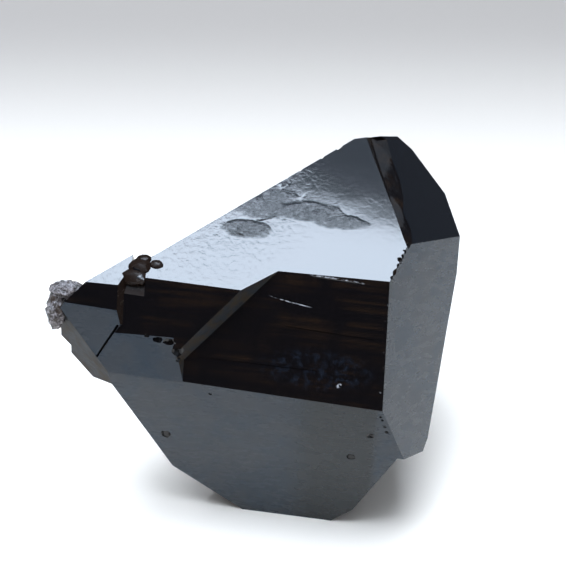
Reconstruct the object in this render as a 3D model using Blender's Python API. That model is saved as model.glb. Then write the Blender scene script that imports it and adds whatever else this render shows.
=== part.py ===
"""Rough morion quartz: a black, doubly terminated crystal with two crystals grown into its left end.

Everything is one solid. One block is cut by the outermost faces, the ledges between the grown-together
crystals are cut out of it, and then the groove, chips, pits and broken surfaces follow. The crystal is
laid out in its own axes in millimetres, with Z along the prism and the origin at the corner where the
bright upper face, the dark front face and the right-hand face meet. Last it is leaned forward as it
lies, and it stands on its flat broken base.
"""

import math
import random

import bmesh
import bpy
from mathutils import Euler, Matrix, Vector, noise

MM = 0.001
NODE_NAME = "morion_crystal"
SLOT_NAME = "morion"
BLOCK_SIZE = 260.0
SEED = 11
MORION_COLOUR = (0.012, 0.010, 0.010, 1.0)
MORION_ROUGHNESS = 0.08
QUARTZ_IOR = 1.544

# How the crystal lies, in degrees, and the height of its base below the origin corner.
LEAN, ROLL, TURN = -30.6, 0.8, -8.0
BASE_DROP = 53.2

# Faces as (azimuth, slope, distance from the origin) in degrees and millimetres. Azimuth 0 faces the
# front and 60 the front right. Slope 0 is a prism face, positive slopes face up and negative ones down.
BRIGHT_TOP = (0.4, 38.5, 0.0)
DARK_FRONT = (0.4, -1.0, 0.0)
GREY_LOWER = (-1.4, -37.6, 12.73)
RIGHT_SIDE = (61.0, 1.6, 0.0)
DARK_UPPER_RIGHT = (59.0, 37.6, 3.26)
UPPER_LEFT_BACK = (-120.3, 38.4, 26.6)
UPPER_RIGHT_BACK = (120.0, 38.2, 25.1)
RIGHT_BACK = (120.0, 0.0, 21.0)
RIGHT_BACK_STEEP = (120.0, -10.0, 20.7)
LEFT_BACK = (-120.0, -3.1, 41.15)
UPPER_BACK = (180.0, 38.2, 34.5)
BACK = (180.0, 0.0, 44.0)
BROKEN_TIP = (-107.7, 76.1, 24.9)
LOWER_LEFT_BREAK = (-91.5, -53.3, 53.7)
LOWER_RIGHT_BREAK = (118.2, -29.1, 27.8)

# The crystal grown into the left end: proud of the dark front, with a steeper lower face.
LEFT_FRONT = (-1.0, -1.0, 3.27)
LEFT_LOWER = (-0.6, -18.9, 6.63)
LEFT_RISER = (47.3, -33.4, -10.98)
LEFT_WALL = (60.0, 0.0, -28.15)

# The small crystal at the very end of it.
SMALL_FRONT = (0.4, -1.0, 3.5)
SMALL_FLANK = (60.0, 0.0, -35.7)
SMALL_RISER = (60.0, -38.2, -21.3)
SMALL_NOTCH = (95.0, 0.0, -42.0)
SMALL_UPPER_BACK = (-120.3, 38.4, 28.8)
SMALL_UPPER_END = (180.0, 0.0, 3.0)
SMALL_BEVEL = (-37.2, -34.9, 33.6)
SMALL_END = (-120.0, 0.0, 48.7)
SMALL_LOWER_BACK = (-120.0, -38.2, 49.3)
SMALL_BOTTOM = (180.0, -88.0, 22.3)
SMALL_BACK = (150.0, 10.0, -17.2)

# The piece broken out of the lower right corner.
CHIP_SIDE = (100.2, -19.2, 15.6)
CHIP_ROOF = (60.0, -87.0, 31.3)

# The broken saddle between the small crystal and the bright face, and where it ends on the right.
SADDLE = (0.0, 20.0, 0.3)
SADDLE_END = (95.0, 0.0, -39.3)

# The open groove between the bright face and the dark upper right one. Each station is its distance
# up the edge from its lower corner, the width on either face and the depth.
GROOVE = [(-1.0, 0.2, 0.6, 0.1), (1.5, 0.4, 1.7, 0.5), (4.0, 0.5, 2.3, 0.8), (7.0, 0.6, 1.5, 0.9),
          (11.0, 0.9, 3.0, 1.0), (15.0, 1.1, 3.6, 1.2), (19.0, 1.4, 3.1, 1.3), (24.0, 1.6, 3.4, 1.3)]
GROOVE_HEADROOM = 3.0

# The dark crack beside the small crystal, from its upper to its lower end.
CRACK_ENDS = ((-43.2, -11.0), (-47.1, -17.2))
CRACK_WIDTH, CRACK_DEPTH = 0.45, 0.5

# Thin ledges on the dark front face, as (left x, right x, z, rise to the right, thickness).
FRONT_LEDGES = [(-12.4, -4.3, -0.55, -0.45, 0.30), (-18.6, -12.7, -4.3, -0.95, 0.16),
                (-16.0, -1.5, -9.0, -0.8, 0.10), (-30.5, -10.0, -15.6, -0.3, 0.10)]
LEDGE_DEPTH = 0.18

# Pits in the grey lower face, as (x, z, radius), and the rough hollow at the foot of the riser.
LOWER_PITS = [(-0.7, -26.9, 0.75), (-3.7, -32.2, 0.85), (-27.9, -21.9, 0.35), (-36.6, -32.1, 1.1)]
RISER_HOLLOWS = [(-33.2, -14.6, 1.3), (-34.7, -13.1, 1.1), (-36.6, -12.9, 0.9), (-32.9, -16.1, 0.7),
                 (-38.4, -12.4, 0.5)]

# The broken edges, as runs of small chips: (start, end, number, radius) in crystal axes.
CHIPPED_EDGES = [((0.2, 0.2, 0.3), (2.5, 5.4, 6.0), 7, 0.55), ((-40.0, 0.6, 1.2), (-24.0, 9.0, 11.5), 8, 0.8),
                 ((-24.0, 9.2, 11.7), (-9.5, 16.9, 21.3), 5, 0.6), ((0.4, 1.0, -21.8), (2.6, 4.8, -27.5), 5, 0.4),
                 ((0.0, 0.0, -2.0), (0.2, 0.2, -19.5), 5, 0.3)]

# Shallow scoops in the rough middle of the bright face, as (x, z, half length, half width).
BRIGHT_SCOOPS = [(-24.2, 11.6, 3.4, 1.7), (-20.8, 12.4, 2.9, 1.6), (-17.6, 11.0, 3.7, 1.5),
                 (-14.2, 9.9, 3.1, 1.4), (-21.6, 8.2, 3.9, 1.6), (-17.9, 8.4, 2.6, 1.3),
                 (-10.7, 8.9, 2.7, 1.2), (-25.6, 5.4, 3.1, 1.1), (-28.3, 9.4, 2.7, 1.2)]
SCOOP_BULGE, SCOOP_DEPTH = 1.0, 0.14

# Shell-shaped hollows of the broken back and underside, as (azimuth, slope, radius, depth), aimed
# from the middle of the crystal.
BREAK_HOLLOWS = [(-125.0, -5.0, 15.0, 1.3), (-112.0, 20.0, 11.0, 0.9), (-150.0, -25.0, 17.0, 1.5),
                 (165.0, -10.0, 18.0, 1.6), (150.0, 20.0, 14.0, 1.0), (-165.0, 15.0, 20.0, 1.4),
                 (115.0, -22.0, 12.0, 0.8)]
MIDDLE = (-18.0, 14.0, -12.0)

# The rough crust that closes the left end, as (middle, half sizes) of its lobes.
CRUST_LOBES = [((-52.2, -2.1, -6.2), (3.2, 2.0, 1.9)), ((-54.0, -1.9, -9.6), (1.9, 2.3, 3.7))]
CRUST_ROUGHNESS, CRUST_GRAIN = 0.34, 1.15

# The brown knob in the notch beside the small crystal, and the grey nub on the bright face.
KNOB_LUMPS = [((-40.2, 0.0, -0.5), (1.5, 1.2, 1.1)), ((-40.6, -1.0, -1.5), (2.1, 1.9, 1.2)),
              ((-41.0, -1.8, -2.9), (2.4, 1.7, 1.2))]
NUB_PLACE, NUB_HALF = (-37.9, -0.75), (1.2, 0.85, 0.5)


def normal(azimuth, slope):
    """Outward direction of a crystal face."""
    a = math.radians(azimuth)
    s = math.radians(slope)
    return Vector((math.cos(s) * math.sin(a), -math.cos(s) * math.cos(a), math.sin(s)))


def inside(face):
    """The half of space that a face closes, as (outward direction, distance)."""
    return normal(face[0], face[1]), face[2]


def beyond(face):
    """The half of space outside a face."""
    return -normal(face[0], face[1]), -face[2]


def lying():
    """The rotation from the crystal's own axes to how it lies."""
    return Euler([math.radians(angle) for angle in (LEAN, ROLL, TURN)]).to_matrix()


def clear_scene():
    """Remove whatever the open file holds."""
    for obj in list(bpy.data.objects):
        bpy.data.objects.remove(obj, do_unlink=True)


def new_object(name, bm):
    """Put a bmesh into the scene as an object."""
    bmesh.ops.triangulate(bm, faces=bm.faces)
    bmesh.ops.recalc_face_normals(bm, faces=bm.faces)
    mesh = bpy.data.meshes.new(name)
    bm.to_mesh(mesh)
    bm.free()
    obj = bpy.data.objects.new(name, mesh)
    bpy.context.collection.objects.link(obj)
    return obj


def convex_block(name, planes):
    """The space inside a set of cutting planes."""
    bm = bmesh.new()
    bmesh.ops.create_cube(bm, size=BLOCK_SIZE)
    for direction, distance in planes:
        geometry = bm.verts[:] + bm.edges[:] + bm.faces[:]
        cut = bmesh.ops.bisect_plane(bm, geom=geometry, plane_co=direction * distance,
                                     plane_no=direction, clear_outer=True)
        rim = [item for item in cut["geom_cut"] if isinstance(item, bmesh.types.BMEdge)]
        if rim:
            bmesh.ops.contextual_create(bm, geom=rim)
    return new_object(name, bm)


def join(body, tool, operation):
    """Fuse a tool with the body or cut it away, and drop the tool.

    The exact solver leaves open edges where these many cuts nearly touch, so this uses the manifold one.
    """
    modifier = body.modifiers.new(operation, "BOOLEAN")
    modifier.object = tool
    modifier.operation = operation
    modifier.solver = "MANIFOLD"
    depsgraph = bpy.context.evaluated_depsgraph_get()
    mesh = bpy.data.meshes.new_from_object(body.evaluated_get(depsgraph))
    body.modifiers.clear()
    body.data = mesh
    bpy.data.objects.remove(tool, do_unlink=True)


def lump(centre, radii, frame, jitter, detail=2):
    """A rough rounded lump, its radii along the axes of frame."""
    bm = bmesh.new()
    bmesh.ops.create_icosphere(bm, subdivisions=detail, radius=1.0)
    for vertex in bm.verts:
        wobble = 1.0 + random.uniform(-jitter, jitter)
        local = Vector(radii[axis] * vertex.co[axis] * wobble for axis in range(3))
        vertex.co = Vector(centre) + frame @ local
    return new_object("lump", bm)


def face_frame(face, spin=0.0):
    """Axes lying on a face: level, up the face, and outwards."""
    outward = normal(face[0], face[1])
    level = Vector((0.0, 0.0, 1.0)).cross(outward).normalized()
    upward = outward.cross(level)
    turn = Matrix.Rotation(math.radians(spin), 3, "Z")
    return Matrix((level, upward, outward)).transposed() @ turn


def on_face(face, x, z, lift=0.0):
    """The point of a face at a given x and z, lifted off it by some millimetres."""
    direction = normal(face[0], face[1])
    y = (face[2] - direction.x * x - direction.z * z) / direction.y
    return Vector((x, y, z)) + direction * lift


def crystal_block():
    """The block cut by every outermost face."""
    down = lying().transposed() @ Vector((0.0, 0.0, -1.0))
    outer = [BRIGHT_TOP, SMALL_FRONT, GREY_LOWER, RIGHT_SIDE, DARK_UPPER_RIGHT, SMALL_UPPER_BACK,
             UPPER_RIGHT_BACK, RIGHT_BACK, RIGHT_BACK_STEEP, SMALL_END, UPPER_BACK, BACK,
             BROKEN_TIP, LOWER_LEFT_BREAK, LOWER_RIGHT_BREAK, SMALL_BEVEL]
    return convex_block(NODE_NAME, [inside(face) for face in outer] + [(down, BASE_DROP)])


def cut_ledges(body):
    """Cut the steps between the crystals: each is the space beyond a few faces."""
    steps = {
        "dark_front": [DARK_FRONT, LEFT_RISER, LEFT_WALL],
        "left_lower": [LEFT_LOWER, (DARK_FRONT[0], DARK_FRONT[1], -1.0)],
        "left_front": [LEFT_FRONT, SMALL_FLANK],
        "small_riser": [LEFT_FRONT, SMALL_RISER],
        "upper_left": [UPPER_LEFT_BACK, SMALL_NOTCH],
        "upper_left_end": [UPPER_LEFT_BACK, SMALL_UPPER_END],
        "saddle": [SADDLE, SMALL_FLANK],
        "small_lower_back": [LEFT_BACK, SMALL_LOWER_BACK],
        "small_bottom": [LEFT_BACK, SMALL_BOTTOM],
        "small_back": [LEFT_BACK, SMALL_BACK],
        "lower_right_chip": [CHIP_SIDE, CHIP_ROOF],
    }
    limits = {"left_lower": LEFT_WALL, "saddle": SADDLE_END}
    for name, faces in steps.items():
        planes = [beyond(face) for face in faces]
        if name in limits:
            planes.append(inside(limits[name]))
        join(body, convex_block(name, planes), "DIFFERENCE")


def loft(name, sections):
    """A closed solid through rings that all have the same number of points."""
    bm = bmesh.new()
    rings = [[bm.verts.new(point) for point in ring] for ring in sections]
    count = len(rings[0])
    for ring, following in zip(rings, rings[1:]):
        for i in range(count):
            j = (i + 1) % count
            bm.faces.new((ring[i], ring[j], following[j], following[i]))
    bm.faces.new(rings[0])
    bm.faces.new(rings[-1])
    return new_object(name, bm)


def cut_groove(body):
    """Cut the uneven open groove along the edge of the bright face and the dark upper one."""
    left, left_distance = inside(BRIGHT_TOP)
    right, right_distance = inside(DARK_UPPER_RIGHT)
    along = left.cross(right).normalized()
    if along.z < 0.0:
        along.negate()
    side, side_distance = inside(RIGHT_SIDE)
    start = Matrix((left, right, side)).inverted() @ Vector((left_distance, right_distance, side_distance))
    onto_left = left.cross(along).normalized()
    onto_left *= -1.0 if onto_left.dot(right) > 0.0 else 1.0
    onto_right = right.cross(along).normalized()
    onto_right *= -1.0 if onto_right.dot(left) > 0.0 else 1.0
    outward = (left + right).normalized()
    sections = []
    for up, left_width, right_width, depth in GROOVE:
        middle = start + along * up
        sections.append([middle + onto_left * left_width, middle - outward * depth,
                         middle + onto_right * right_width, middle + outward * GROOVE_HEADROOM])
    join(body, loft("groove", sections), "DIFFERENCE")


def cut_crack(body):
    """Cut the narrow dark crack between the small crystal and its neighbour."""
    outward = normal(LEFT_LOWER[0], LEFT_LOWER[1])
    ends = [on_face(LEFT_LOWER, x, z) for x, z in CRACK_ENDS]
    along = (ends[1] - ends[0]).normalized()
    aside = outward.cross(along)
    sections = [[end - aside * CRACK_WIDTH / 2.0 + outward * 0.1, end - outward * CRACK_DEPTH,
                 end + aside * CRACK_WIDTH / 2.0 + outward * 0.1] for end in ends]
    join(body, loft("crack", sections), "DIFFERENCE")


def cut_front_ledges(body):
    """Cut the thin level ledges that catch the light on the dark front face."""
    outward = normal(DARK_FRONT[0], DARK_FRONT[1])
    for x_left, x_right, z, rise, thickness in FRONT_LEDGES:
        ends = [on_face(DARK_FRONT, x_left, z), on_face(DARK_FRONT, x_right, z + rise)]
        up = Vector((0.0, 0.0, thickness))
        sections = [[end - outward * LEDGE_DEPTH, end + outward * 0.1 - up * 0.2,
                     end + outward * 0.1 + up * 1.6] for end in ends]
        join(body, loft("ledge", sections), "DIFFERENCE")


def cut_pits(body):
    """Cut the pits of the grey face and the rough hollow at the foot of the riser."""
    for x, z, radius in LOWER_PITS:
        centre = on_face(GREY_LOWER, x, z, 0.3 * radius)
        radii = (radius, radius, 0.8 * radius)
        join(body, lump(centre, radii, face_frame(GREY_LOWER, 20.0), 0.15), "DIFFERENCE")
    for x, z, radius in RISER_HOLLOWS:
        centre = on_face(LEFT_LOWER, x, z, 0.25 * radius)
        radii = (radius, 0.7 * radius, 0.8 * radius)
        join(body, lump(centre, radii, face_frame(LEFT_LOWER, 10.0), 0.2), "DIFFERENCE")


def cut_scoops(body):
    """Cut the shallow scoops in the middle of the bright face."""
    for x, z, length, width in BRIGHT_SCOOPS:
        centre = on_face(BRIGHT_TOP, x, z, SCOOP_BULGE - SCOOP_DEPTH)
        frame = face_frame(BRIGHT_TOP, random.uniform(-25.0, 35.0))
        join(body, lump(centre, (length, width, SCOOP_BULGE), frame, 0.03), "DIFFERENCE")


def cut_chips(body):
    """Cut runs of small chips out of the broken edges."""
    for start, end, count, radius in CHIPPED_EDGES:
        for i in range(count):
            step = (i + random.uniform(0.2, 0.8)) / count
            centre = Vector(start).lerp(Vector(end), step)
            outward = (centre - Vector(MIDDLE)).normalized()
            size = radius * random.uniform(0.6, 1.1)
            frame = face_frame(BRIGHT_TOP, random.uniform(0.0, 180.0))
            radii = (1.3 * size, 0.8 * size, size)
            join(body, lump(centre + outward * 0.3 * size, radii, frame, 0.2), "DIFFERENCE")


def cut_breaks(body):
    """Cut the shell-shaped hollows of the broken back and underside."""
    for azimuth, slope, radius, depth in BREAK_HOLLOWS:
        aim = normal(azimuth, slope)
        skin = body.ray_cast(Vector(MIDDLE), aim)[1]
        ball = lump(skin + aim * (radius - depth), (radius, radius, radius), Matrix.Identity(3), 0.006, 4)
        join(body, ball, "DIFFERENCE")


def add_crust(body):
    """Fuse the lobes of the rough crust onto the left end."""
    for middle, half in CRUST_LOBES:
        lobe = lump(middle, half, Matrix.Identity(3), 0.03, 4)
        for vertex in lobe.data.vertices:
            cells = noise.voronoi(vertex.co / CRUST_GRAIN)[0]
            outward = (vertex.co - Vector(middle)).normalized()
            vertex.co -= outward * CRUST_ROUGHNESS * 2.0 * cells[0]
        join(body, lobe, "UNION")


def add_knob(body):
    """Fuse the brown knob and the grey nub beside the small crystal."""
    for centre, radii in KNOB_LUMPS:
        join(body, lump(centre, radii, face_frame(BRIGHT_TOP), 0.10, 2), "UNION")
    nub = lump(on_face(BRIGHT_TOP, *NUB_PLACE), NUB_HALF, face_frame(BRIGHT_TOP, -6.0), 0.06, 2)
    join(body, nub, "UNION")


def add_material(body):
    """Give the crystal its near black, glassy material."""
    material = bpy.data.materials.new(SLOT_NAME)
    material.use_nodes = True
    shader = material.node_tree.nodes["Principled BSDF"]
    shader.inputs["Base Color"].default_value = MORION_COLOUR
    shader.inputs["Roughness"].default_value = MORION_ROUGHNESS
    shader.inputs["IOR"].default_value = QUARTZ_IOR
    body.data.materials.clear()
    body.data.materials.append(material)
    body.data.shade_flat()


def place(body):
    """Lean the crystal as it lies and stand it on the middle of its base, in metres."""
    turn = lying()
    corners = [turn @ vertex.co for vertex in body.data.vertices]
    low = [min(corner[axis] for corner in corners) for axis in range(3)]
    high = [max(corner[axis] for corner in corners) for axis in range(3)]
    middle = Vector(((low[0] + high[0]) / 2.0, (low[1] + high[1]) / 2.0, low[2]))
    body.data.transform(Matrix.Scale(MM, 4))
    body.rotation_euler = turn.to_euler()
    body.location = -middle * MM


def main():
    clear_scene()
    random.seed(SEED)
    body = crystal_block()
    cut_ledges(body)
    cut_breaks(body)
    cut_groove(body)
    cut_crack(body)
    cut_front_ledges(body)
    cut_pits(body)
    cut_scoops(body)
    cut_chips(body)
    add_crust(body)
    add_knob(body)
    add_material(body)
    place(body)


main()
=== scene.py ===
"""The looks of a rough morion quartz crystal: its surfaces, a pale floor, soft light and a camera."""
from math import cos, radians, sin

import bmesh
import bpy
from mathutils import Euler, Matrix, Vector


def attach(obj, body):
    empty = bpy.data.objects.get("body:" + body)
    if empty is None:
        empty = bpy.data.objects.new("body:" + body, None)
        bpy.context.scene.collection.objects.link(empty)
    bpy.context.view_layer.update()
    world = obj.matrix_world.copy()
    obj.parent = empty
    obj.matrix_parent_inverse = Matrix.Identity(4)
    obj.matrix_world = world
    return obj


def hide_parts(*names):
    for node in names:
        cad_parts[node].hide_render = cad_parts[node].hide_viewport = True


NODE = "morion_crystal"
MM = 0.001

# The crystal's own frame: its front upper right corner, and how it leans on its broken base
CORNER = Vector((0.020797, -0.014217, 0.0532))
LEAN, ROLL, TURN = -30.6, 0.8, -8.0

# The camera: offset from that corner in mm, angle down, lens in mm, and nearest view in metres
CAMERA_OFFSET = Vector((-17.08, -126.35, 98.45))
CAMERA_DOWN = 38.0
LENS, SENSOR = 63.67, 36.0
NEAREST = 0.005

# The finer mesh: longest edge in mm, halving passes, sharp angle, and weld distance in metres
LONGEST_EDGE = 1.2
SPLIT_PASSES = 5
SHARP_ANGLE = 21.0
WELD_DISTANCE = 1e-7

# Natural faces in the crystal's frame: kind, azimuth and slope in degrees, and distance in mm
GLOSSY, DARK, GREY, SHADED, BROKEN, CRUST, KNOB = range(7)
FACES = [
    (GLOSSY, 0.4, 38.5, 0.0),
    (GLOSSY, 59.0, 37.6, 3.26),
    (GLOSSY, -120.3, 38.4, 26.6),
    (GLOSSY, 120.0, 38.2, 25.1),
    (GLOSSY, 180.0, 38.2, 34.5),
    (GLOSSY, -120.3, 38.4, 28.8),
    (DARK, 0.4, -1.0, 0.0),
    (DARK, -1.0, -1.0, 3.27),
    (DARK, 0.4, -1.0, 3.5),
    (DARK, 120.0, 0.0, 21.0),
    (DARK, -120.0, -3.1, 41.15),
    (DARK, 180.0, 0.0, 44.0),
    (DARK, -120.0, 0.0, 48.7),
    (GREY, -1.4, -37.6, 12.73),
    (GREY, -0.6, -18.9, 6.63),
    (GREY, 61.0, 1.6, 0.0),
    (GREY, 118.2, -29.1, 27.8),
    (GREY, 120.0, -10.0, 20.7),
    (GREY, -120.0, -38.2, 49.3),
    (SHADED, -37.2, -34.9, 33.6),
    (SHADED, 47.3, -33.4, -10.98),
    (SHADED, 60.0, 0.0, -28.15),
    (SHADED, 60.0, -38.2, -21.3),
    (KNOB, 60.0, 0.0, -35.7),
    (KNOB, 95.0, 0.0, -42.0),
    (KNOB, 95.0, 0.0, -39.3),
    (KNOB, 0.0, 20.0, 0.3),
]
# The least agreement in direction and the most distance in mm, for a flat face and for its scoops
CLOSE_MATCH, LOOSE_MATCH = (0.9994, 0.12), (0.955, 0.30)
CRUST_EDGE = -49.6
KNOB_PLACE = Vector((-41.0, -1.0, -1.5))
KNOB_REACH = 5.0

# Colours, as linear red, green and blue
SMOKE_BLACK = (0.0025, 0.002, 0.0025)
SMOKE_BROWN = (0.011, 0.006, 0.0035)
# Black glass of the upper faces, with a painted bluish reflection tint
UPPER_BLACK_AND_PAINTED_BLUE_REFLECTION = (0.005, 0.0065, 0.009)
HACKLY_GREY = (0.008, 0.010, 0.013)
# Grey faces: partly etched haze, partly a painted bluish reflection, painted darker on the right part
HAZE_AND_PAINTED_BLUE_REFLECTION = (0.020, 0.027, 0.036)
HAZE_AND_PAINTED_DEEP_BLUE_REFLECTION = (0.010, 0.022, 0.036)
HAZE_AND_PAINTED_DARK_REFLECTION_RIGHT = (0.006, 0.010, 0.013)
MOTTLE_GREY = (0.007, 0.009, 0.014)
STREAK_WHITE = (0.38, 0.38, 0.40)
WALL_GREY = (0.012, 0.015, 0.020)
WALL_BROWN = (0.030, 0.022, 0.014)
CRUST_DARK = (0.026, 0.020, 0.018)
CRUST_PALE = (0.24, 0.215, 0.22)
CRUST_BROWN = (0.030, 0.016, 0.010)
KNOB_BROWN = (0.012, 0.007, 0.005)
KNOB_PALE = (0.10, 0.085, 0.075)
FLOOR_NEAR = (0.95, 0.86, 0.76)
# Painted shade: the far floor colour is greyer
FLOOR_FAR_PAINTED_SHADE = (0.36, 0.32, 0.285)
QUARTZ_IOR = 1.544

# The floor's half width, and where it changes from its near to its far colour with painted shade, in
# metres
FLOOR_HALF = 2.0
FLOOR_CHANGE = (0.0, 0.22)

# Depths of the fine relief in mm
WAVE_DEPTH, SCUFF_DEPTH, HACKLY_DEPTH = 0.03, 0.045, 0.15
LINE_DEPTH, GRAIN_DEPTH, WALL_DEPTH, RIPPLE_DEPTH = 0.010, 0.008, 0.15, 0.05
CRUST_DEPTH, KNOB_DEPTH = 0.22, 0.05

# Shine of the kinds of surface, where 0.5 is clean quartz
GLASS_SHINE, DARK_SHINE, GREY_SHINE, SHADED_SHINE = 0.45, 0.34, 0.25, 0.12

# Patches in the crystal's frame: middle and half sizes in mm, and for the streaks a tilt in radians
HACKLY_PATCHES = [
    ((-22.0, 8.2, 10.2), (6.5, 3.5, 3.2)),
    ((-15.0, 7.6, 9.4), (6.0, 2.0, 2.0)),
    ((-9.0, 6.6, 8.2), (4.5, 1.4, 1.5)),
    ((-24.5, 4.6, 5.8), (4.0, 2.0, 1.8)),
]
PALE_STREAKS = [
    ((-8.3, 0.0, -0.45), (3.9, 1.2, 0.20), 0.07),
    ((-15.6, 0.0, -4.80), (2.9, 1.2, 0.14), 0.18),
    ((-6.6, 0.3, -17.9), (0.5, 1.2, 0.25), -0.7),
]
MOTTLE_PLACE, MOTTLE_SIZE = (-10.5, 0.0, -15.6), (8.5, 3.0, 3.0)

# Across the crystal in mm: where the wear fades out, and where the right part with its painted darker
# reflection starts and ends
WORN_FADE = (-30.0, -8.0)
RIGHT_START, RIGHT_END = (-17.0, -9.0), (-0.5, 1.0)

# The overhead light in metres, and the places where its bright part fades out
LIGHT_HEIGHT = 1.0
LIGHT_HALF = 0.9
LIGHT_COLOUR = (0.78, 0.90, 1.06)
LIGHT_STRENGTH = 18.0
HALO_STRENGTH = 0.9
LIGHT_BACK_FADE = (0.232, 0.262)
LIGHT_BACK_SLANT = 0.29
LIGHT_LEFT, LIGHT_RIGHT, LIGHT_FRONT = -0.36, 0.24, -0.32
LIGHT_FADE = 0.06
ROOM_COLOUR = (0.075, 0.075, 0.082)


class Graph:
    """A node tree with short ways to add and join its nodes."""

    def __init__(self, tree):
        self.tree = tree
        tree.nodes.clear()

    def add(self, kind, inputs=None, **settings):
        """A new node, with its settings made before its inputs are filled."""
        node = self.tree.nodes.new(kind)
        for name, value in settings.items():
            setattr(node, name, value)
        for name, value in (inputs or {}).items():
            self.put(node.inputs[name], value)
        return node

    def put(self, socket, value):
        """Joins another node's output to a socket, or sets the socket to a value."""
        if isinstance(value, bpy.types.NodeSocket):
            self.tree.links.new(value, socket)
        else:
            socket.default_value = value

    def math(self, operation, first, second):
        """The result of one step of arithmetic."""
        return self.add("ShaderNodeMath", {0: first, 1: second}, operation=operation).outputs[0]

    def product(self, first, *others):
        """All the values multiplied together."""
        result = first
        for value in others:
            result = self.math("MULTIPLY", result, value)
        return result

    def largest(self, values):
        """The largest of the values, and at least 0."""
        most = 0.0
        for value in values:
            most = self.math("MAXIMUM", most, value)
        return most

    def split(self, point):
        """The X, Y and Z of a point."""
        return self.add("ShaderNodeSeparateXYZ", {"Vector": point}).outputs

    def step(self, value, low, high, start=0.0, end=1.0):
        """A smooth change from start to end while the value goes from low to high."""
        inputs = {"Value": value, "From Min": low, "From Max": high, "To Min": start, "To Max": end}
        return self.add("ShaderNodeMapRange", inputs, interpolation_type="SMOOTHSTEP").outputs[0]

    def mix(self, factor, first, second):
        """A colour between two others."""
        inputs = {0: factor, 6: colour(first), 7: colour(second)}
        return self.add("ShaderNodeMix", data_type="RGBA", inputs=inputs).outputs[2]

    def place(self):
        """Where a point lies in the crystal's own frame, in mm."""
        point = self.add("ShaderNodeTexCoord").outputs["Object"]
        inputs = {
            "Vector": point,
            "Location": CORNER,
            "Rotation": tuple(radians(angle) for angle in (LEAN, ROLL, TURN)),
            "Scale": (MM, MM, MM),
        }
        return self.add("ShaderNodeMapping", inputs, vector_type="TEXTURE").outputs[0]

    def noise(self, point, scale, detail=4.0, roughness=0.55, distortion=0.0, stretch=None):
        """Cloudy noise, with its scale in waves per mm, and in each direction if it's stretched."""
        if stretch:
            point = self.add("ShaderNodeMapping", {"Vector": point, "Scale": stretch}).outputs[0]
        inputs = {
            "Vector": point,
            "Scale": scale,
            "Detail": detail,
            "Roughness": roughness,
            "Distortion": distortion,
        }
        return self.add("ShaderNodeTexNoise", inputs).outputs["Fac"]

    def patch(self, point, middle, half, soft=0.35, tilt=0.0):
        """1 inside an ellipsoid and 0 outside it, with a soft edge and a tilt in radians."""
        inputs = {"Vector": point, "Location": middle, "Rotation": (0.0, tilt, 0.0), "Scale": half}
        nearby = self.add("ShaderNodeMapping", inputs, vector_type="TEXTURE").outputs[0]
        length = self.add("ShaderNodeVectorMath", {0: nearby}, operation="LENGTH").outputs["Value"]
        return self.step(length, 1.0 - soft, 1.0 + soft, 1.0, 0.0)

    def bump(self, height, depth, below=None):
        """Relief of a depth in mm, on top of another relief if there is one."""
        inputs = {"Height": height, "Distance": depth * MM, "Strength": 1.0}
        if below:
            inputs["Normal"] = below
        return self.add("ShaderNodeBump", inputs).outputs[0]

    def finish(self, surface):
        """Makes a shader node the surface of the material."""
        output = self.add("ShaderNodeOutputMaterial")
        self.put(output.inputs["Surface"], surface.outputs[0])


def colour(value):
    """A colour tuple gets its alpha, and a socket stays as it is."""
    return value if isinstance(value, bpy.types.NodeSocket) else (*value, 1.0)


def new_material(name):
    """An empty material and the graph to fill it with."""
    material = bpy.data.materials.new(name)
    material.use_nodes = True
    return material, Graph(material.node_tree)


def quartz_material(name, build):
    """A glassy material whose colour, roughness and normal come from a function of the place."""
    material, graph = new_material(name)
    surface = graph.add("ShaderNodeBsdfPrincipled", {"IOR": QUARTZ_IOR})
    graph.finish(surface)
    for socket, value in build(graph, graph.place()).items():
        graph.put(surface.inputs[socket], value)
    return material


def glossy_face(graph, point):
    """The upper faces: a mirror with a painted bluish reflection tint in its black colour, a rough
    hackly band and a worn left part.
    """
    across = graph.split(point)["X"]
    ragged = graph.noise(point, 0.45, detail=5.0, roughness=0.65)
    band = graph.largest(graph.patch(point, middle, half, soft=0.5) for middle, half in HACKLY_PATCHES)
    hackly = graph.step(graph.math("ADD", band, ragged), 0.80, 1.30)
    worn = graph.step(across, *WORN_FADE, 1.0, 0.12)
    ridges = graph.noise(point, 1.0, detail=7.0, roughness=0.68, distortion=1.8)
    scuffs = graph.noise(point, 1.1, detail=4.0, roughness=0.6, distortion=0.6)
    waves = graph.bump(graph.noise(point, 0.10, detail=1.0), WAVE_DEPTH)
    worn_waves = graph.bump(graph.product(scuffs, worn), SCUFF_DEPTH, below=waves)
    return {
        # Painted reflection: the upper faces' black carries a bluish tint
        "Base Color": graph.mix(hackly, UPPER_BLACK_AND_PAINTED_BLUE_REFLECTION, HACKLY_GREY),
        "Specular IOR Level": GLASS_SHINE,
        "Roughness": graph.step(hackly, 0.0, 1.0, 0.08, 0.15),
        "Normal": graph.bump(graph.product(ridges, hackly), HACKLY_DEPTH, below=worn_waves),
    }


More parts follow.
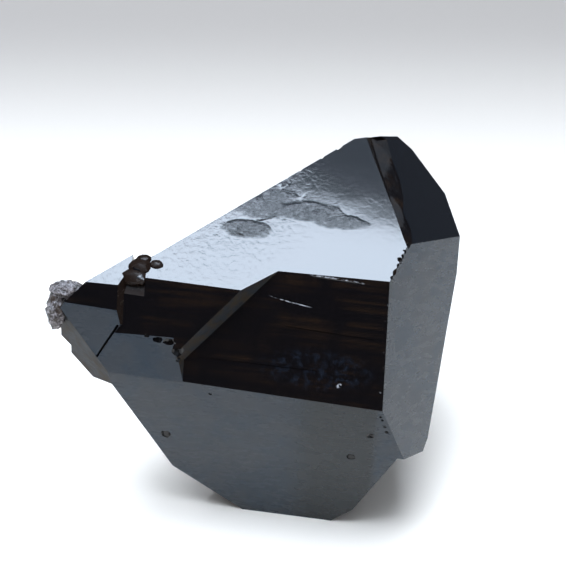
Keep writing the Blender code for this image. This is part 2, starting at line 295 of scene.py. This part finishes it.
def dark_face(graph, point):
    """The upright faces: black glass with brown streaks across it and a mottled patch."""
    streaks = graph.noise(point, 1.0, detail=5.0, roughness=0.6, stretch=(0.05, 0.05, 1.1))
    brown = graph.step(streaks, 0.42, 0.70)
    patches = graph.step(graph.noise(point, 0.16, detail=3.0), 0.38, 0.60)
    browned = graph.mix(graph.product(brown, patches), SMOKE_BLACK, SMOKE_BROWN)
    blots = graph.step(graph.noise(point, 0.9, detail=4.0, roughness=0.65), 0.46, 0.64)
    mottled = graph.product(blots, graph.patch(point, MOTTLE_PLACE, MOTTLE_SIZE, soft=0.3))
    lines = graph.noise(point, 1.0, detail=3.0, stretch=(0.02, 0.02, 1.6))
    blotted = graph.mix(mottled, browned, MOTTLE_GREY)
    broken_up = graph.step(graph.noise(point, 1.8, detail=3.0), 0.42, 0.56)
    marks = (graph.patch(point, middle, half, tilt=tilt) for middle, half, tilt in PALE_STREAKS)
    pale = graph.product(graph.largest(marks), broken_up)
    return {
        "Base Color": graph.mix(pale, blotted, STREAK_WHITE),
        "Specular IOR Level": DARK_SHINE,
        "Roughness": graph.step(streaks, 0.3, 0.8, 0.07, 0.15),
        "Normal": graph.bump(lines, LINE_DEPTH),
    }


def grey_face(graph, point):
    """The lower and side faces: etched, with a dim grey haze and a painted bluish reflection in its
    colour, bluer clouds, and a painted darker reflection on the right part.
    """
    across = graph.split(point)["X"]
    clouds = graph.noise(point, 0.14, detail=5.0, roughness=0.6, distortion=0.4)
    dark = graph.step(clouds, 0.40, 0.66)
    right = graph.product(graph.step(across, *RIGHT_START), graph.step(across, *RIGHT_END, 1.0, 0.0))
    grain = graph.noise(point, 3.2, detail=4.0, roughness=0.7)
    brushed = graph.noise(point, 0.5, detail=5.0, roughness=0.6, stretch=(0.5, 0.5, 1.6))
    # Painted reflection: the grey haze colours carry a bluish reflection, and a darker one on the right
    # part
    haze_and_painted_reflection = graph.mix(dark, HAZE_AND_PAINTED_BLUE_REFLECTION, HAZE_AND_PAINTED_DEEP_BLUE_REFLECTION)
    return {
        "Base Color": graph.mix(right, haze_and_painted_reflection, HAZE_AND_PAINTED_DARK_REFLECTION_RIGHT),
        "Specular IOR Level": GREY_SHINE,
        "Roughness": graph.step(brushed, 0.3, 0.7, 0.20, 0.36),
        "Normal": graph.bump(grain, GRAIN_DEPTH),
    }


def shaded_face(graph, point):
    """Step walls, risers and the lower left bevel: dull brown grey glass."""
    clouds = graph.noise(point, 0.5, detail=5.0, roughness=0.6)
    return {
        "Base Color": graph.mix(graph.step(clouds, 0.40, 0.65), WALL_GREY, WALL_BROWN),
        "Specular IOR Level": SHADED_SHINE,
        "Roughness": graph.step(clouds, 0.3, 0.7, 0.42, 0.60),
        "Normal": graph.bump(clouds, WALL_DEPTH),
    }


def broken_face(graph, point):
    """Fractures: glassy, rippled and brown black."""
    ripples = graph.noise(point, 0.7, detail=6.0, roughness=0.6, distortion=0.8)
    brown = graph.step(graph.noise(point, 0.4, detail=3.0), 0.45, 0.75)
    return {
        "Base Color": graph.mix(brown, SMOKE_BLACK, SMOKE_BROWN),
        "Specular IOR Level": DARK_SHINE,
        "Roughness": graph.step(ripples, 0.3, 0.7, 0.08, 0.20),
        "Normal": graph.bump(ripples, RIPPLE_DEPTH),
    }


def crust_face(graph, point):
    """The crust on the left end: sparkling grey pink grains with dark gaps."""
    fine = graph.noise(point, 1.5, detail=7.0, roughness=0.72, distortion=0.5)
    coarse = graph.noise(point, 0.7, detail=3.0, distortion=0.4)
    tint = graph.mix(graph.step(fine, 0.42, 0.58), CRUST_DARK, CRUST_PALE)
    return {
        "Base Color": graph.mix(graph.step(coarse, 0.50, 0.66), tint, CRUST_BROWN),
        "Roughness": graph.step(fine, 0.3, 0.7, 0.12, 0.35),
        "Normal": graph.bump(fine, CRUST_DEPTH),
    }


def knob_face(graph, point):
    """The knob in the saddle: dark brown glass with a few pale grains."""
    fine = graph.noise(point, 1.3, detail=6.0, roughness=0.7)
    pale = graph.step(fine, 0.60, 0.74)
    return {
        "Base Color": graph.mix(pale, KNOB_BROWN, KNOB_PALE),
        "Specular IOR Level": SHADED_SHINE,
        "Roughness": graph.step(fine, 0.3, 0.7, 0.10, 0.30),
        "Normal": graph.bump(fine, KNOB_DEPTH),
    }


def materials():
    """One material for each kind of surface, in the order of the kinds."""
    return [
        quartz_material("morion_glossy", glossy_face),
        quartz_material("morion_dark", dark_face),
        quartz_material("morion_grey", grey_face),
        quartz_material("morion_shaded", shaded_face),
        quartz_material("morion_broken", broken_face),
        quartz_material("morion_crust", crust_face),
        quartz_material("morion_knob", knob_face),
    ]


def crystal_rotation():
    """The rotation from the crystal's own axes to how it lies."""
    return Euler((radians(LEAN), radians(ROLL), radians(TURN))).to_matrix()


def face_normal(azimuth, slope):
    """The outward normal of a face in the crystal's frame."""
    turn, rise = radians(azimuth), radians(slope)
    return Vector((cos(rise) * sin(turn), -cos(rise) * cos(turn), sin(rise)))


def surface_kind(centre, direction, faces):
    """The kind of surface of a triangle of the solid, from its centre in mm and its direction."""
    for least, most in (CLOSE_MATCH, LOOSE_MATCH):
        for kind, outward, distance in faces:
            level = abs(direction.dot(outward)) > least
            if level and abs(centre.dot(outward) - distance) < most:
                return kind
        if centre.x < CRUST_EDGE:
            return CRUST
    if (centre - KNOB_PLACE).length < KNOB_REACH:
        return KNOB
    return BROKEN


def split_long_edges(mesh):
    """Halves long edges a few times, so that shading changes over short distances."""
    for _ in range(SPLIT_PASSES):
        long_edges = [edge for edge in mesh.edges if edge.calc_length() > LONGEST_EDGE * MM]
        bmesh.ops.subdivide_edges(mesh, edges=long_edges, cuts=1)
        wide = [face for face in mesh.faces if len(face.verts) > 3]
        bmesh.ops.triangulate(mesh, faces=wide)


def crystal_piece(solid):
    """A finer copy of the solid, with a material for each kind of surface."""
    mesh = bmesh.new()
    mesh.from_mesh(solid.data)
    bmesh.ops.remove_doubles(mesh, verts=mesh.verts, dist=WELD_DISTANCE)
    rotation = crystal_rotation()
    faces = [(kind, face_normal(azimuth, slope), distance) for kind, azimuth, slope, distance in FACES]
    for face in mesh.faces:
        centre = (face.calc_center_median() - CORNER) @ rotation / MM
        face.material_index = surface_kind(centre, face.normal @ rotation, faces)
        face.smooth = True
    split_long_edges(mesh)
    data = bpy.data.meshes.new("morion")
    mesh.to_mesh(data)
    mesh.free()
    data.validate()
    if "custom_normal" in data.attributes:
        data.attributes.remove(data.attributes["custom_normal"])
    data.set_sharp_from_angle(angle=radians(SHARP_ANGLE))
    for material in materials():
        data.materials.append(material)
    piece = bpy.data.objects.new("morion", data)
    bpy.context.collection.objects.link(piece)
    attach(piece, "root")
    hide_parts(NODE)


def plane(name, half, height):
    """A level square that belongs to the stage."""
    data = bpy.data.meshes.new(name)
    corners = [(half * x, half * y, height) for x, y in ((-1, -1), (1, -1), (1, 1), (-1, 1))]
    data.from_pydata(corners, [], [(0, 1, 2, 3)])
    piece = bpy.data.objects.new(name, data)
    bpy.context.collection.objects.link(piece)
    return piece


def floor():
    """A pale floor, warm white near the camera and greyer far from it with painted shade."""
    piece = plane("floor", FLOOR_HALF, 0.0)
    material, graph = new_material("floor")
    away = graph.split(graph.add("ShaderNodeTexCoord").outputs["Object"])["Y"]
    # Painted shade: the floor turns greyer away from the camera
    shade = graph.mix(graph.step(away, *FLOOR_CHANGE), FLOOR_NEAR, FLOOR_FAR_PAINTED_SHADE)
    graph.finish(graph.add("ShaderNodeBsdfDiffuse", {"Color": shade}))
    piece.data.materials.append(material)


def overhead_light():
    """A large soft light above, with a bright middle and a dim rim."""
    piece = plane("overhead_light", LIGHT_HALF, LIGHT_HEIGHT)
    piece.visible_camera = False
    material, graph = new_material("overhead_light")
    place = graph.split(graph.add("ShaderNodeTexCoord").outputs["Object"])
    across, away = place["X"], place["Y"]
    slanted = graph.math("ADD", away, graph.math("MULTIPLY", across, LIGHT_BACK_SLANT))
    back = graph.step(slanted, *LIGHT_BACK_FADE, 1.0, 0.0)
    front = graph.step(away, LIGHT_FRONT - LIGHT_FADE, LIGHT_FRONT + LIGHT_FADE)
    left = graph.step(across, LIGHT_LEFT - LIGHT_FADE, LIGHT_LEFT + LIGHT_FADE)
    right = graph.step(across, LIGHT_RIGHT - LIGHT_FADE, LIGHT_RIGHT + LIGHT_FADE, 1.0, 0.0)
    bright = graph.product(back, front, left, right)
    strength = graph.step(bright, 0.0, 1.0, HALO_STRENGTH, LIGHT_STRENGTH)
    graph.finish(graph.add("ShaderNodeEmission", {"Color": colour(LIGHT_COLOUR), "Strength": strength}))
    piece.data.materials.append(material)


def room():
    """The dim room around the floor."""
    world = bpy.data.worlds.new("room")
    world.use_nodes = True
    background = world.node_tree.nodes["Background"]
    background.inputs["Color"].default_value = colour(ROOM_COLOUR)
    bpy.context.scene.world = world


def camera():
    """The camera, level from side to side and looking down at the crystal."""
    data = bpy.data.cameras.new("camera")
    data.lens = LENS
    data.sensor_width = SENSOR
    data.clip_start = NEAREST
    piece = bpy.data.objects.new("camera", data)
    piece.location = CORNER + CAMERA_OFFSET * MM
    piece.rotation_euler = (radians(90.0 - CAMERA_DOWN), 0.0, 0.0)
    bpy.context.collection.objects.link(piece)
    bpy.context.scene.camera = piece


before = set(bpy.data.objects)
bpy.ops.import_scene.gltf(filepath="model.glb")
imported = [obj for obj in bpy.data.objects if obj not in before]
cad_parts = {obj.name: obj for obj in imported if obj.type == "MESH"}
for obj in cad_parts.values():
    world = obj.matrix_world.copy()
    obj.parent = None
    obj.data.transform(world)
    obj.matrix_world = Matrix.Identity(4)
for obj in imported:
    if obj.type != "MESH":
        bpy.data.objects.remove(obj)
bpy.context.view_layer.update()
crystal_piece(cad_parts[NODE])
floor()
overhead_light()
room()
camera()
bpy.context.scene.view_settings.view_transform = "Standard"
